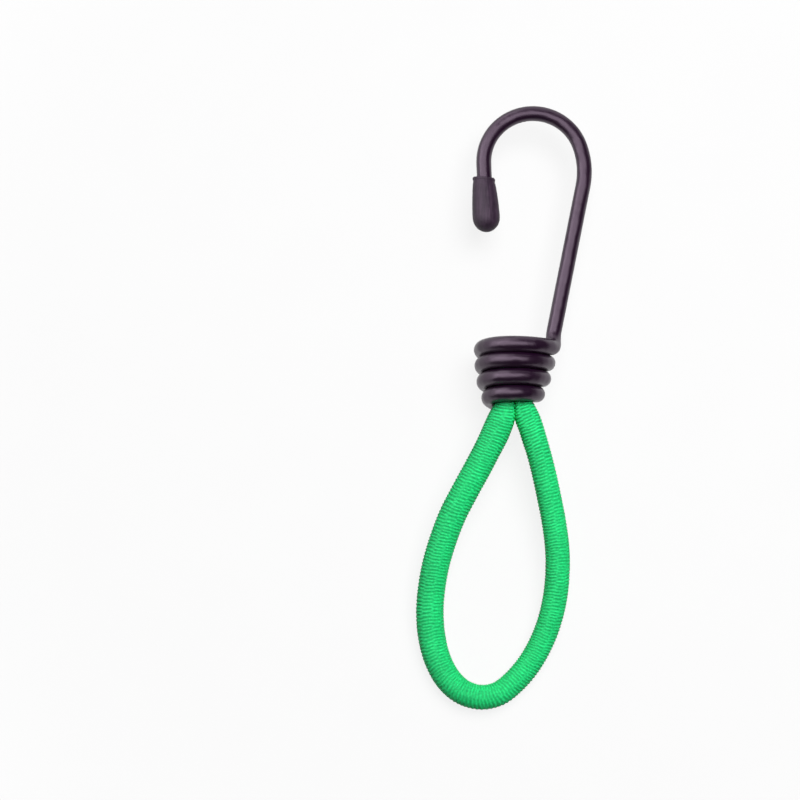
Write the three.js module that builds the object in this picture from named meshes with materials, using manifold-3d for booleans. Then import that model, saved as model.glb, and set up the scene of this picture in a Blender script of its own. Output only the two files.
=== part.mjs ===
// Elastic tent peg loop: a coated wire hook whose shank winds into a tapering coil,
// and a loop of elastic cord whose two ends are squeezed into that coil.
// Millimetres. +Y runs along the pull, from the loop to the hook. +Z is up from the surface it lies on.
// The origin is on that surface, under the lowest point of the coil's first turn.
import * as THREE from "three";
import { mergeVertices } from "three/addons/utils/BufferGeometryUtils.js";
import Module from "manifold-3d";

const wasm = await Module();
wasm.setup();

// Wire and hook
const WIRE_DIAMETER = 3.5;
const BEND_RADIUS = 11.5;
const BEND_CENTRE_X = -0.2;
const BEND_CENTRE_Y = 45.3;
const SHOULDER_RADIUS = 18;
const SHOULDER_ANGLE = 25;
const TIP_LEAN = 7;
const SADDLE_ANGLE = 8.8;
const FOOT_RISE = 4.2;
const FOOT_INSET = 0.3;
const CORNER_ANGLE = 26;
const CORNER_HANDLE = 2.4;

// Coil
const COIL_PITCH = 3.9;
const COIL_TURNS = 3.8;
const COIL_WIDE_RADIUS = 8.5;
const COIL_NARROW_RADIUS = 5.2;
const COIL_NARROW_TURN = 3.5;
const COIL_TAPER_POWER = 1.4;
const COIL_REST_TURN = 0.75;
const COIL_REST_FLAT = 0.5;

// Rubber cap on the hook's tip
const CAP_MOUTH_DROP = 3;
const CAP_LENGTH = 13;
const CAP_MOUTH_DIAMETER = 5.1;
const CAP_BULB_DIAMETER = 6.3;
const CAP_BULB_DEPTH = 9.4;
const CAP_FLOOR = 2.2;

// Elastic cord: a braided sheath round a rubber core
const CORD_DIAMETER = 6;
const SHEATH_WALL = 0.9;
const CORD_END_Y = 4;
const NECK_TOP_Y = -15.6;
const NECK_END_Y = -27;
const BIGHT_TOP_Y = -62;
const SWELL_LENGTH = 3.5;
const MOUTH_DRIFT = 0.6;
const NECK_LEAD = 1.4;
const CORD_STEP = 3.6;
const END_STEP = 1.5;

// Crimped steel clip that keeps the cord ends from drawing out through the coil
const CLIP_TOP_Y = 2.2;
const CLIP_WIDTH = 3.8;
const CLIP_THICKNESS = 0.8;
const CLIP_SEAM = 0.6;
const CLIP_FLATTENING = 0.85;

// Shared clearance between touching pieces, and the facets of round pieces
const CLEARANCE = 0.3;
const WIRE_SIDES = 10;
const CORD_SIDES = 12;
const CORE_SIDES = 8;
const STEPS_PER_TURN = 24;
const BEND_STEPS_TO_SADDLE = 11;
const BEND_STEPS_FROM_SADDLE = 7;
const SHOULDER_STEPS = 4;
const SHANK_STEPS = 3;
const CORNER_STEPS = 8;
const CAP_ROUND_STEPS = 6;
const CAP_SIDE_STEPS = 5;
const CAP_SEGMENTS = 20;
const CLIP_ROUND_STEPS = 8;
const GAP_SAMPLES_PER_TURN = 60;
const ROUTE_SEARCH_STEPS = 40;
const ROUTE_NUDGE = 1e-6;
const MERGE_TOLERANCE = 1e-3;

const wireRadius = WIRE_DIAMETER / 2;
const cordRadius = CORD_DIAMETER / 2;
const boreShare = (cordRadius - SHEATH_WALL) / cordRadius;
const axisHeight = coilRadius(COIL_REST_TURN) + wireRadius - COIL_REST_FLAT;
const restingHeight = cordRadius - CORD_DIAMETER / 10;
const UP = new THREE.Vector3(0, 0, 1);
const DOWN_THE_PULL = new THREE.Vector3(0, -1, 0);

// Centreline of the free loop, from below the left neck round the bight to below the right neck:
// across and along the pull, and the share of the drop from the coil's axis to the resting height.
const LOOP_ROUTE = [
  [-4.5, -21.8, 0.04],
  [-6.8, -27.0, 0.11],
  [-9.2, -32.4, 0.21],
  [-11.6, -38.2, 0.34],
  [-13.3, -44.0, 0.48],
  [-14.5, -50.0, 0.62],
  [-15.0, -56.0, 0.76],
  [-14.8, -61.5, 0.87],
  [-13.8, -66.8, 0.95],
  [-11.9, -71.8, 0.99],
  [-9.0, -75.9, 1],
  [-5.5, -78.3, 1],
  [-1.5, -79.0, 1],
  [2.3, -77.9, 1],
  [5.5, -75.1, 1],
  [8.6, -70.9, 0.99],
  [10.9, -66.2, 0.95],
  [12.5, -61.2, 0.87],
  [13.4, -55.8, 0.76],
  [13.6, -50.2, 0.62],
  [13.1, -44.3, 0.48],
  [11.9, -38.5, 0.34],
  [10.2, -32.5, 0.21],
  [8.5, -27.0, 0.11],
  [6.6, -22.1, 0.04],
];

const COLOURS = {
  wire: { color: 0x2b2530, roughness: 0.38, metalness: 0 },
  cap: { color: 0x454048, roughness: 0.85, metalness: 0 },
  clip: { color: 0xb9bcc0, roughness: 0.35, metalness: 1 },
  sheath: { color: 0x35c43a, roughness: 0.8, metalness: 0 },
  core: { color: 0xcdbf9f, roughness: 0.7, metalness: 0 },
};

// Radius of the coil's centreline after a number of turns: it closes in faster towards the narrow end.
function coilRadius(turn) {
  const share = Math.max(turn, 0) / COIL_NARROW_TURN;
  return COIL_WIDE_RADIUS - (COIL_WIDE_RADIUS - COIL_NARROW_RADIUS) * share ** COIL_TAPER_POWER;
}

function coilPoint(turn) {
  const angle = 2 * Math.PI * turn;
  const radius = coilRadius(turn);
  return new THREE.Vector3(
    radius * Math.cos(angle),
    COIL_PITCH * (COIL_REST_TURN - turn),
    axisHeight + radius * Math.sin(angle),
  );
}

function coilDirection(turn) {
  const step = 1e-3;
  return coilPoint(turn + step).sub(coilPoint(turn - step)).normalize();
}

function degrees(angle) {
  return THREE.MathUtils.degToRad(angle);
}

function linear(from, to, share) {
  return THREE.MathUtils.lerp(from, to, share);
}

// Points on a level arc at the coil's axis height, between two angles in degrees.
function arcPoints(centre, radius, from, to, steps) {
  return Array.from({ length: steps + 1 }, (_, i) => {
    const angle = degrees(linear(from, to, i / steps));
    return new THREE.Vector3(
      centre.x + radius * Math.cos(angle),
      centre.y + radius * Math.sin(angle),
      axisHeight,
    );
  });
}

// The hook's plan: the bend, its easier shoulder, the straight shank and the tip that carries the cap.
function hookPlan() {
  const bend = new THREE.Vector2(BEND_CENTRE_X, BEND_CENTRE_Y);
  const easing = new THREE.Vector2(Math.cos(degrees(SHOULDER_ANGLE)), Math.sin(degrees(SHOULDER_ANGLE)));
  const shoulder = bend.clone().addScaledVector(easing, BEND_RADIUS - SHOULDER_RADIUS);
  const start = coilPoint(0);
  const foot = new THREE.Vector3(start.x - FOOT_INSET, start.y + FOOT_RISE, axisHeight);
  const toFoot = new THREE.Vector2(foot.x - shoulder.x, foot.y - shoulder.y);
  const tangent = toFoot.angle() - 2 * Math.PI + Math.acos(SHOULDER_RADIUS / toFoot.length());
  const tipAngle = 180 + TIP_LEAN;
  const tipStart = arcPoints(bend, BEND_RADIUS, tipAngle, tipAngle, 1)[0];
  const tipDirection = new THREE.Vector3(Math.sin(degrees(TIP_LEAN)), -Math.cos(degrees(TIP_LEAN)), 0);
  return { bend, shoulder, foot, tangent, tipAngle, tipStart, tipDirection };
}

// Centreline of the whole wire, from the tip inside the cap to the cut end of the coil.
function wireRoute(plan) {
  const tipLength = CAP_MOUTH_DROP + CAP_LENGTH - CAP_FLOOR - CLEARANCE;
  const tip = plan.tipStart.clone().addScaledVector(plan.tipDirection, tipLength);
  const saddleStart = 90 + SADDLE_ANGLE / 2;
  const saddleEnd = 90 - SADDLE_ANGLE / 2;
  const shoulderEnd = THREE.MathUtils.radToDeg(plan.tangent);
  const beforeSaddle = arcPoints(plan.bend, BEND_RADIUS, plan.tipAngle, saddleStart, BEND_STEPS_TO_SADDLE);
  const afterSaddle = arcPoints(plan.bend, BEND_RADIUS, saddleEnd, SHOULDER_ANGLE, BEND_STEPS_FROM_SADDLE);
  const shoulder = arcPoints(
    plan.shoulder, SHOULDER_RADIUS, SHOULDER_ANGLE, shoulderEnd, SHOULDER_STEPS,
  ).slice(1);
  const shankEnd = shoulder[shoulder.length - 1];
  const shank = new THREE.LineCurve3(shankEnd, plan.foot).getPoints(SHANK_STEPS).slice(1);
  const cornerTurn = CORNER_ANGLE / 360;
  const down = plan.foot.clone().sub(shankEnd).normalize();
  const corner = new THREE.CubicBezierCurve3(
    plan.foot,
    plan.foot.clone().addScaledVector(down, CORNER_HANDLE),
    coilPoint(cornerTurn).addScaledVector(coilDirection(cornerTurn), -CORNER_HANDLE),
    coilPoint(cornerTurn),
  ).getPoints(CORNER_STEPS).slice(1);
  const coilSteps = Math.round((COIL_TURNS - cornerTurn) * STEPS_PER_TURN);
  const coil = Array.from({ length: coilSteps }, (_, i) => (
    coilPoint(linear(cornerTurn, COIL_TURNS, (i + 1) / coilSteps))
  ));
  return [tip, ...beforeSaddle, ...afterSaddle, ...shoulder, ...shank, ...corner, ...coil];
}

// Least gap between one turn of the coil and another, measured on points of its centreline.
function leastCoilGap() {
  const count = Math.round(COIL_TURNS * GAP_SAMPLES_PER_TURN);
  const points = Array.from({ length: count + 1 }, (_, i) => coilPoint((COIL_TURNS * i) / count));
  let least = Infinity;
  for (let i = 0; i <= count; i += 1) {
    for (let j = i + GAP_SAMPLES_PER_TURN / 2; j <= count; j += 1) {
      least = Math.min(least, points[i].distanceTo(points[j]));
    }
  }
  return least - WIRE_DIAMETER;
}

// A ring of points round a centre, on an ellipse in the plane of two unit directions.
function ring(centre, across, upright, halfWidth, halfHeight, sides) {
  return Array.from({ length: sides }, (_, i) => {
    const angle = (2 * Math.PI * (i + 0.5)) / sides;
    return centre.clone()
      .addScaledVector(across, halfWidth * Math.cos(angle))
      .addScaledVector(upright, halfHeight * Math.sin(angle));
  });
}

// A closed solid skinned over rings, flat at both ends. Inner rings, where given, make it a tube.
function skin(outer, inner = null) {
  const sides = outer[0].length;
  const layers = outer.length;
  const points = [...outer.flat(), ...(inner ? inner.flat() : [])];
  const triangles = [];
  const outside = (layer, side) => layer * sides + (side % sides);
  const inside = (layer, side) => layers * sides + outside(layer, side);
  const last = layers - 1;
  for (let layer = 0; layer < last; layer += 1) {
    for (let side = 0; side < sides; side += 1) {
      const [a, b] = [outside(layer, side), outside(layer, side + 1)];
      const [c, d] = [outside(layer + 1, side), outside(layer + 1, side + 1)];
      triangles.push(a, b, c, b, d, c);
      if (inner) {
        const [e, f] = [inside(layer, side), inside(layer, side + 1)];
        const [g, h] = [inside(layer + 1, side), inside(layer + 1, side + 1)];
        triangles.push(e, g, f, f, g, h);
      }
    }
  }
  for (let side = 0; inner && side < sides; side += 1) {
    triangles.push(outside(0, side), inside(0, side), outside(0, side + 1));
    triangles.push(outside(0, side + 1), inside(0, side), inside(0, side + 1));
    triangles.push(outside(last, side), outside(last, side + 1), inside(last, side));
    triangles.push(outside(last, side + 1), inside(last, side + 1), inside(last, side));
  }
  for (let side = 1; !inner && side < sides - 1; side += 1) {
    triangles.push(outside(0, 0), outside(0, side + 1), outside(0, side));
    triangles.push(outside(last, 0), outside(last, side), outside(last, side + 1));
  }
  const geometry = new THREE.BufferGeometry().setFromPoints(points);
  geometry.setIndex(triangles);
  return geometry;
}

function directions(points) {
  return points.map((_, i) => {
    const before = points[Math.max(i - 1, 0)];
    const after = points[Math.min(i + 1, points.length - 1)];
    return after.clone().sub(before).normalize();
  });
}

// Round tube along points, its section carried along without twist.
function wireTube(points) {
  const along = directions(points);
  const upright = UP.clone();
  const rings = points.map((point, i) => {
    if (i > 0) {
      upright.applyQuaternion(new THREE.Quaternion().setFromUnitVectors(along[i - 1], along[i]));
    }
    const across = upright.clone().cross(along[i]);
    return ring(point, across, upright, wireRadius, wireRadius, WIRE_SIDES);
  });
  return skin(rings);
}

function toManifold(geometry) {
  const bare = geometry.clone();
  bare.deleteAttribute("normal");
  bare.deleteAttribute("uv");
  const merged = mergeVertices(bare, MERGE_TOLERANCE);
  const mesh = new wasm.Mesh({
    numProp: 3,
    vertProperties: new Float32Array(merged.attributes.position.array),
    triVerts: new Uint32Array(merged.index.array),
  });
  return new wasm.Manifold(mesh);
}

function fromManifold(solid) {
  const mesh = solid.getMesh();
  const geometry = new THREE.BufferGeometry();
  geometry.setAttribute("position", new THREE.BufferAttribute(mesh.vertProperties, 3));
  geometry.setIndex(new THREE.BufferAttribute(mesh.triVerts, 1));
  return geometry;
}

// The geometry with everything below the surface it lies on cut away.
function restOnSurface(geometry) {
  geometry.computeBoundingBox();
  const size = geometry.boundingBox.getSize(new THREE.Vector3());
  const centre = geometry.boundingBox.getCenter(new THREE.Vector3());
  const block = new THREE.BoxGeometry(2 * size.x, 2 * size.y, size.z);
  block.translate(centre.x, centre.y, -size.z / 2);
  return fromManifold(toManifold(geometry).subtract(toManifold(block)));
}

// Free radius inside the coil at a place along the pull.
function coilBore(y) {
  const turn = COIL_REST_TURN - (y - wireRadius) / COIL_PITCH;
  return coilRadius(Math.min(turn, COIL_TURNS)) - wireRadius - CLEARANCE;
}

// Inside half sizes of the clip, and the half sizes of each cord in it.
function clipFit() {
  const halfWidth = coilBore(CLIP_TOP_Y - CLIP_WIDTH) - CLIP_THICKNESS;
  const cordHalfWidth = (halfWidth - CLEARANCE - CLEARANCE / 2) / 2;
  const cordHalfHeight = cordRadius * CLIP_FLATTENING;
  return { halfWidth, halfHeight: cordHalfHeight + CLEARANCE, cordHalfWidth, cordHalfHeight };
}

// Half width and half height of each cord at a place along the pull: squeezed side by side in the coil
// and the clip, and swelling to the full diameter below the coil's narrow mouth.
function cordSection(y) {
  const bore = coilBore(y);
  const halfWidth = Math.min(cordRadius, (bore - CLEARANCE / 2) / 2);
  const halfHeight = Math.min(cordRadius, Math.sqrt(halfWidth * bore));
  const mouth = coilPoint(COIL_NARROW_TURN).y - wireRadius / 2;
  const swelling = THREE.MathUtils.smoothstep(mouth - y, 0, SWELL_LENGTH);
  const clip = clipFit();
  const clipMiddle = CLIP_TOP_Y - CLIP_WIDTH / 2;
  const fromClip = Math.abs(y - clipMiddle) - CLIP_WIDTH / 2;
  const grip = 1 - THREE.MathUtils.smoothstep(fromClip, CLEARANCE, 2 * END_STEP);
  const grippedWidth = linear(halfWidth, Math.min(halfWidth, clip.cordHalfWidth), grip);
  const grippedHeight = linear(halfHeight, Math.min(halfHeight, clip.cordHalfHeight), grip);
  return {
    halfWidth: linear(grippedWidth, cordRadius, swelling),
    halfHeight: linear(grippedHeight, cordRadius, swelling),
    drift: MOUTH_DRIFT * swelling,
  };
}

// Stations of one cord end inside the coil, from its cut end down to the neck.
function endStations(hand) {
  const bottom = NECK_TOP_Y + CLEARANCE;
  const steps = Math.round((CORD_END_Y - bottom) / END_STEP);
  return Array.from({ length: steps + 1 }, (_, i) => {
    const y = linear(CORD_END_Y, bottom, i / steps);
    const { halfWidth, halfHeight, drift } = cordSection(y);
    const x = hand * (CLEARANCE / 2 + halfWidth) + drift;
    return { point: new THREE.Vector3(x, y, axisHeight), along: DOWN_THE_PULL, halfWidth, halfHeight };
  });
}

// The two points that lead one side of the loop straight out of its cord end.
function neckLead(hand) {
  const x = hand * (CLEARANCE / 2 + cordRadius) + MOUTH_DRIFT;
  return [
    new THREE.Vector3(x, NECK_TOP_Y, axisHeight),
    new THREE.Vector3(x, NECK_TOP_Y - NECK_LEAD, axisHeight),
  ];
}

const loopCurve = new THREE.CatmullRomCurve3([
  ...neckLead(-1),
  ...LOOP_ROUTE.map(([x, y, drop]) => new THREE.Vector3(x, y, linear(axisHeight, restingHeight, drop))),
  ...neckLead(1).reverse(),
]);
const loopLength = loopCurve.getLength();

// Distance along the loop at which one of its sides passes a place along the pull.
function loopDistance(hand, y) {
  let [near, far] = [0, 0.5];
  for (let i = 0; i < ROUTE_SEARCH_STEPS; i += 1) {
    const middle = (near + far) / 2;
    const share = hand < 0 ? middle : 1 - middle;
    if (loopCurve.getPointAt(share).y > y) near = middle;
    else far = middle;
  }
  return (hand < 0 ? near : 1 - near) * loopLength;
}

// Stations of a full round stretch of the loop between two distances along it.
function loopStations(from, to) {
  const steps = Math.max(2, Math.round(Math.abs(to - from) / CORD_STEP));
  return Array.from({ length: steps + 1 }, (_, i) => {
    const share = THREE.MathUtils.clamp(linear(from, to, i / steps) / loopLength, 0, 1);
    const point = loopCurve.getPointAt(share);
    const along = loopCurve.getTangentAt(share).multiplyScalar(Math.sign(to - from));
    return { point, along, halfWidth: cordRadius, halfHeight: cordRadius };
  });
}

// Rings of the sheath's outside, its bore and the core along stations of the cord.
function cordRings(stations) {
  const rings = { outside: [], bore: [], core: [] };
  stations.forEach(({ point, along, halfWidth, halfHeight }) => {
    const across = UP.clone().cross(along).normalize();
    const upright = along.clone().cross(across);
    const boreWidth = halfWidth * boreShare;
    const boreHeight = halfHeight * boreShare;
    rings.outside.push(ring(point, across, upright, halfWidth, halfHeight, CORD_SIDES));
    rings.bore.push(ring(point, across, upright, boreWidth, boreHeight, CORD_SIDES));
    rings.core.push(
      ring(point, across, upright, boreWidth - CLEARANCE, boreHeight - CLEARANCE, CORE_SIDES),
    );
  });
  return rings;
}

function part(name, geometry, look) {
  const mesh = new THREE.Mesh(geometry, new THREE.MeshStandardMaterial(look));
  mesh.name = name;
  return mesh;
}

function hookWire(plan) {
  return part("hook_wire", restOnSurface(wireTube(wireRoute(plan))), COLOURS.wire);
}

// Hollow rubber cap: narrow at its mouth, swelling to a bulb, with a round bottom.
function tipCap(plan) {
  const bulb = CAP_BULB_DIAMETER / 2;
  const mouth = CAP_MOUTH_DIAMETER / 2;
  const bore = wireRadius + CLEARANCE;
  const bottomDepth = CAP_LENGTH - CAP_BULB_DEPTH;
  const profile = [];
  for (let i = 0; i <= CAP_ROUND_STEPS; i += 1) {
    const angle = (Math.PI / 2) * (i / CAP_ROUND_STEPS);
    profile.push(new THREE.Vector2(bulb * Math.sin(angle), bottomDepth * (1 - Math.cos(angle))));
  }
  for (let i = 1; i <= CAP_SIDE_STEPS; i += 1) {
    const share = i / CAP_SIDE_STEPS;
    const swell = bulb - (bulb - mouth) * share * share;
    profile.push(new THREE.Vector2(swell, linear(bottomDepth, CAP_LENGTH, share)));
  }
  profile.push(new THREE.Vector2(bore, CAP_LENGTH));
  profile.push(new THREE.Vector2(bore, CAP_FLOOR));
  profile.push(new THREE.Vector2(0, CAP_FLOOR));
  profile[0].x = 0;
  const cap = part("tip_cap", new THREE.LatheGeometry(profile, CAP_SEGMENTS), COLOURS.cap);
  const bottom = plan.tipStart.clone().addScaledVector(plan.tipDirection, CAP_MOUTH_DROP + CAP_LENGTH);
  cap.position.copy(bottom);
  cap.rotation.z = degrees(TIP_LEAN);
  return cap;
}

// Steel strip bent round both cord ends, its two ends meeting at a seam on top.
function endClip() {
  const fit = clipFit();
  const thickness = CLIP_THICKNESS;
  const inner = { radius: fit.halfHeight, side: fit.halfWidth - fit.halfHeight };
  const outline = new THREE.Shape();
  outline.moveTo(CLIP_SEAM / 2, inner.radius + thickness);
  outline.lineTo(inner.side, inner.radius + thickness);
  outline.absarc(inner.side, 0, inner.radius + thickness, Math.PI / 2, -Math.PI / 2, true);
  outline.lineTo(-inner.side, -inner.radius - thickness);
  outline.absarc(-inner.side, 0, inner.radius + thickness, -Math.PI / 2, Math.PI / 2, true);
  outline.lineTo(-CLIP_SEAM / 2, inner.radius + thickness);
  outline.lineTo(-CLIP_SEAM / 2, inner.radius);
  outline.lineTo(-inner.side, inner.radius);
  outline.absarc(-inner.side, 0, inner.radius, Math.PI / 2, -Math.PI / 2, false);
  outline.lineTo(inner.side, -inner.radius);
  outline.absarc(inner.side, 0, inner.radius, -Math.PI / 2, Math.PI / 2, false);
  outline.lineTo(CLIP_SEAM / 2, inner.radius);
  outline.closePath();
  const strip = new THREE.ExtrudeGeometry(outline, {
    depth: CLIP_WIDTH,
    bevelEnabled: false,
    curveSegments: CLIP_ROUND_STEPS,
  });
  const clip = part("end_clip", strip, COLOURS.clip);
  clip.rotation.x = Math.PI / 2;
  clip.position.set(0, CLIP_TOP_Y, axisHeight);
  return clip;
}

// The sheath and the core of one stretch of the cord, as two pieces.
function cordStretch(name, stations, rests = false) {
  const rings = cordRings(stations);
  const sheath = skin(rings.outside, rings.bore);
  return [
    part(`${name}_sheath`, rests ? restOnSurface(sheath) : sheath, COLOURS.sheath),
    part(`${name}_core`, skin(rings.core), COLOURS.core),
  ];
}

// One side of the cord: its end in the coil, the neck below the coil's mouth and the leg of the loop.
function cordSide(side, hand) {
  const inward = -hand;
  const neckTop = loopDistance(hand, NECK_TOP_Y - ROUTE_NUDGE);
  const neckEnd = loopDistance(hand, NECK_END_Y);
  const legTop = neckEnd + inward * CLEARANCE;
  const legEnd = loopDistance(hand, BIGHT_TOP_Y) - inward * CLEARANCE;
  return [
    ...cordStretch(`${side}_end`, endStations(hand)),
    ...cordStretch(`${side}_neck`, loopStations(neckTop, neckEnd)),
    ...cordStretch(`${side}_leg`, loopStations(legTop, legEnd)),
  ];
}

function bight() {
  const stations = loopStations(loopDistance(-1, BIGHT_TOP_Y), loopDistance(1, BIGHT_TOP_Y));
  return cordStretch("bight", stations, true);
}

console.log(`least gap between turns of the coil: ${leastCoilGap().toFixed(2)} mm`);

const plan = hookPlan();
const group = new THREE.Group();
group.add(hookWire(plan), tipCap(plan), endClip());
group.add(...cordSide("left", -1), ...cordSide("right", 1), ...bight());

export default group;
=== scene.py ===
"""Looks of an elastic tent peg loop: a coated wire hook, its rubber cap and clip, and a braided elastic cord.

The scene is in metres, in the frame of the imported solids: +Y runs along the pull towards the hook, and +Z is
up from the surface that the loop lies on. The sizes of the pieces are fields in millimetres.
"""

from __future__ import annotations

import logging
import math
import random
from dataclasses import dataclass
from enum import Enum
from typing import Any, Callable

import bpy
import numpy as np
from mathutils import Matrix, Vector
from mathutils.geometry import interpolate_bezier

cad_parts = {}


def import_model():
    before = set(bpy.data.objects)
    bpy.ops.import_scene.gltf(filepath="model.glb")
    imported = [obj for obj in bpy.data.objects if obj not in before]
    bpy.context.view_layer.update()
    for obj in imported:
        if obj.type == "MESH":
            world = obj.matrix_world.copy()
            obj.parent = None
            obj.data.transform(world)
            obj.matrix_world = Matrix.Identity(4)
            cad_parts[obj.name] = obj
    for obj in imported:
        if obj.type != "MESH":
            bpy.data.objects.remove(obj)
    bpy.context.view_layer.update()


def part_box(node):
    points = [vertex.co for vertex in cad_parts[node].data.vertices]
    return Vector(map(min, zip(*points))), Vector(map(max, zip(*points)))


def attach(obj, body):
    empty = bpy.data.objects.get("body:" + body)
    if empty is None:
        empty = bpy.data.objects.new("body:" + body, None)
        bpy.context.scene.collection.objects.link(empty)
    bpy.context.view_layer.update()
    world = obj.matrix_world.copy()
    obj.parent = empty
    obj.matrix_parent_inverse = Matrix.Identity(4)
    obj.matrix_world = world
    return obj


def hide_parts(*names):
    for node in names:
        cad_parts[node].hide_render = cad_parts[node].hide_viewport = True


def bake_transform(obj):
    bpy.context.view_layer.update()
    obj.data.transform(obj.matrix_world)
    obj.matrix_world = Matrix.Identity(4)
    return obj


LOG = logging.getLogger("tent_peg_loop")
MM = 0.001
# How bright the burnt-out white is, so that with the shadowed share it comes to just under 1.
WHITE = 1.33
# Edges of the wire and the clip that turn by more than this are shaded sharp.
SHARP_ANGLE = math.radians(35)
# How near two places lie to count as one, in metres.
TOUCHING = 1e-6


class Side(Enum):
    """The two sides of the loop, as the direction across the pull."""

    LEFT = -1
    RIGHT = 1


class Body(str, Enum):
    """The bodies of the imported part."""

    HOOK = "hook"
    LOOP = "loop"
    BIGHT = "bight"


def linear_colour(hex_code: str) -> tuple[float, ...]:
    """Turn an sRGB hex colour into linear values.

    Args:
        hex_code: The colour as six hex digits after a hash.

    Returns:
        Linear red, green and blue, and an alpha of 1.
    """
    channels = [int(hex_code[i:i + 2], 16) / 255 for i in (1, 3, 5)]
    return (*(c / 12.92 if c <= 0.04045 else ((c + 0.055) / 1.055) ** 2.4 for c in channels), 1.0)


def repeats(size_mm: float) -> float:
    """How often a pattern of a size in millimetres repeats in a metre."""
    return 1 / (size_mm * MM)


def smoothstep(value: float | np.ndarray, low: float, high: float) -> float | np.ndarray:
    """Ease from 0 to 1 between two values."""
    share = np.clip((value - low) / (high - low), 0, 1)
    return share * share * (3 - 2 * share)


def set_inputs(tree: bpy.types.NodeTree, node: bpy.types.Node, **inputs: Any) -> None:
    """Set or link the inputs of a node.

    Args:
        tree: The node's tree.
        node: The node.
        inputs: Values, output sockets, or nodes that give their first output, by socket name with _ for
            spaces, or by i0, i1 for a socket's index.
    """
    for name, value in inputs.items():
        is_index = name[0] == "i" and name[1:].isdigit()
        socket = node.inputs[int(name[1:]) if is_index else name.replace("_", " ")]
        source = value.outputs[0] if isinstance(value, bpy.types.Node) else value
        if isinstance(source, bpy.types.NodeSocket):
            tree.links.new(source, socket)
        else:
            socket.default_value = source


def add_node(tree: bpy.types.NodeTree, kind: str, settings: dict[str, Any] | None = None,
             stops: tuple[tuple[float, str], ...] = (), **inputs: Any) -> bpy.types.Node:
    """Add a shader node with its settings, values and links.

    Args:
        tree: The material's node tree.
        kind: The node's type name after ShaderNode.
        settings: Properties of the node itself.
        stops: Positions from 0 to 1 with their sRGB hex colours, for a colour ramp.
        inputs: The node's inputs, as set_inputs takes them.

    Returns:
        The new node.
    """
    node = tree.nodes.new(f"ShaderNode{kind}")
    for name, value in (settings or {}).items():
        setattr(node, name, value)
    if stops:
        elements = node.color_ramp.elements
        while len(elements) < len(stops):
            elements.new(0.5)
        for element, (position, hex_code) in zip(elements, stops):
            element.position = position
            element.color = linear_colour(hex_code)
    set_inputs(tree, node, **inputs)
    return node


def new_material(
        name: str) -> tuple[bpy.types.Material, bpy.types.NodeTree, bpy.types.Node, bpy.types.NodeSocket]:
    """Make a node material.

    Args:
        name: The material's name.

    Returns:
        The material, its node tree, its Principled shader and the place on the piece that its patterns read.
    """
    material = bpy.data.materials.new(name)
    material.use_nodes = True
    tree = material.node_tree
    return material, tree, tree.nodes["Principled BSDF"], add_node(tree, "TexCoord").outputs["Object"]


@dataclass(frozen=True)
class CoatedWireFinish:
    """Spring steel wire dipped in black PVC: a satin skin with soft sags, light scuffs and a purple cast."""

    body: str = "#1c061d"
    scuffed: str = "#291129"
    sheen: str = "#ffe6ff"
    roughness_low: float = 0.3
    roughness_high: float = 0.42
    sag_mm: float = 3.5
    sag_depth_mm: float = 0.4
    peel_mm: float = 0.9
    peel_depth_mm: float = 0.05
    scuff_mm: float = 5.0

    def build(self) -> bpy.types.Material:
        """Make the material.

        Returns:
            The material.
        """
        material, tree, shader, place = new_material("pvc_coated_wire")
        scuff = add_node(tree, "TexNoise", Vector=place, Scale=repeats(self.scuff_mm), Detail=8.0,
                         Roughness=0.7)
        sag = add_node(tree, "TexNoise", Vector=place, Scale=repeats(self.sag_mm), Detail=1.0)
        peel = add_node(tree, "TexNoise", Vector=place, Scale=repeats(self.peel_mm), Detail=2.0)
        stops = ((0.0, self.body), (0.6, self.body), (0.78, self.scuffed))
        colour = add_node(tree, "ValToRGB", stops=stops, Fac=scuff)
        rough = add_node(tree, "MapRange", Value=scuff, From_Min=0.3, From_Max=0.75,
                         To_Min=self.roughness_low, To_Max=self.roughness_high)
        dip = add_node(tree, "Bump", Strength=0.8, Distance=self.sag_depth_mm * MM, Height=sag)
        skin = add_node(tree, "Bump", Strength=0.25, Distance=self.peel_depth_mm * MM, Height=peel,
                        Normal=dip)
        set_inputs(tree, shader, Base_Color=colour, Roughness=rough, Normal=skin, IOR=1.55,
                   Specular_IOR_Level=0.6, Specular_Tint=linear_colour(self.sheen))
        return material


@dataclass(frozen=True)
class CapRubberFinish:
    """Moulded black rubber: matte, greyer than the wire, with powdery blotches and drawn-out flow marks."""

    body: str = "#241126"
    bloom: str = "#3a253b"
    grain_mm: float = 0.3
    grain_depth_mm: float = 0.03
    bloom_mm: float = 1.6
    flow_mm: tuple[float, float, float] = (0.5, 6.0, 0.5)

    def build(self) -> bpy.types.Material:
        """Make the material.

        Returns:
            The material.
        """
        material, tree, shader, place = new_material("moulded_rubber")
        drawn_out = add_node(tree, "Mapping", Vector=place, Scale=tuple(map(repeats, self.flow_mm)))
        flow = add_node(tree, "TexNoise", Vector=drawn_out, Scale=1.0, Detail=2.0)
        bloom = add_node(tree, "TexNoise", Vector=place, Scale=repeats(self.bloom_mm), Detail=6.0)
        grain = add_node(tree, "TexNoise", Vector=place, Scale=repeats(self.grain_mm), Detail=4.0)
        both = add_node(tree, "Math", {"operation": "ADD"}, i0=bloom, i1=flow)
        marks = add_node(tree, "Math", {"operation": "MULTIPLY"}, i0=both, i1=0.5)
        colour = add_node(tree, "ValToRGB", stops=((0.36, self.body), (0.64, self.bloom)), Fac=marks)
        rough = add_node(tree, "MapRange", Value=grain, To_Min=0.5, To_Max=0.72)
        bump = add_node(tree, "Bump", Strength=0.35, Distance=self.grain_depth_mm * MM, Height=grain)
        set_inputs(tree, shader, Base_Color=colour, Roughness=rough, Normal=bump, IOR=1.5,
                   Specular_IOR_Level=0.42)
        return material


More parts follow.
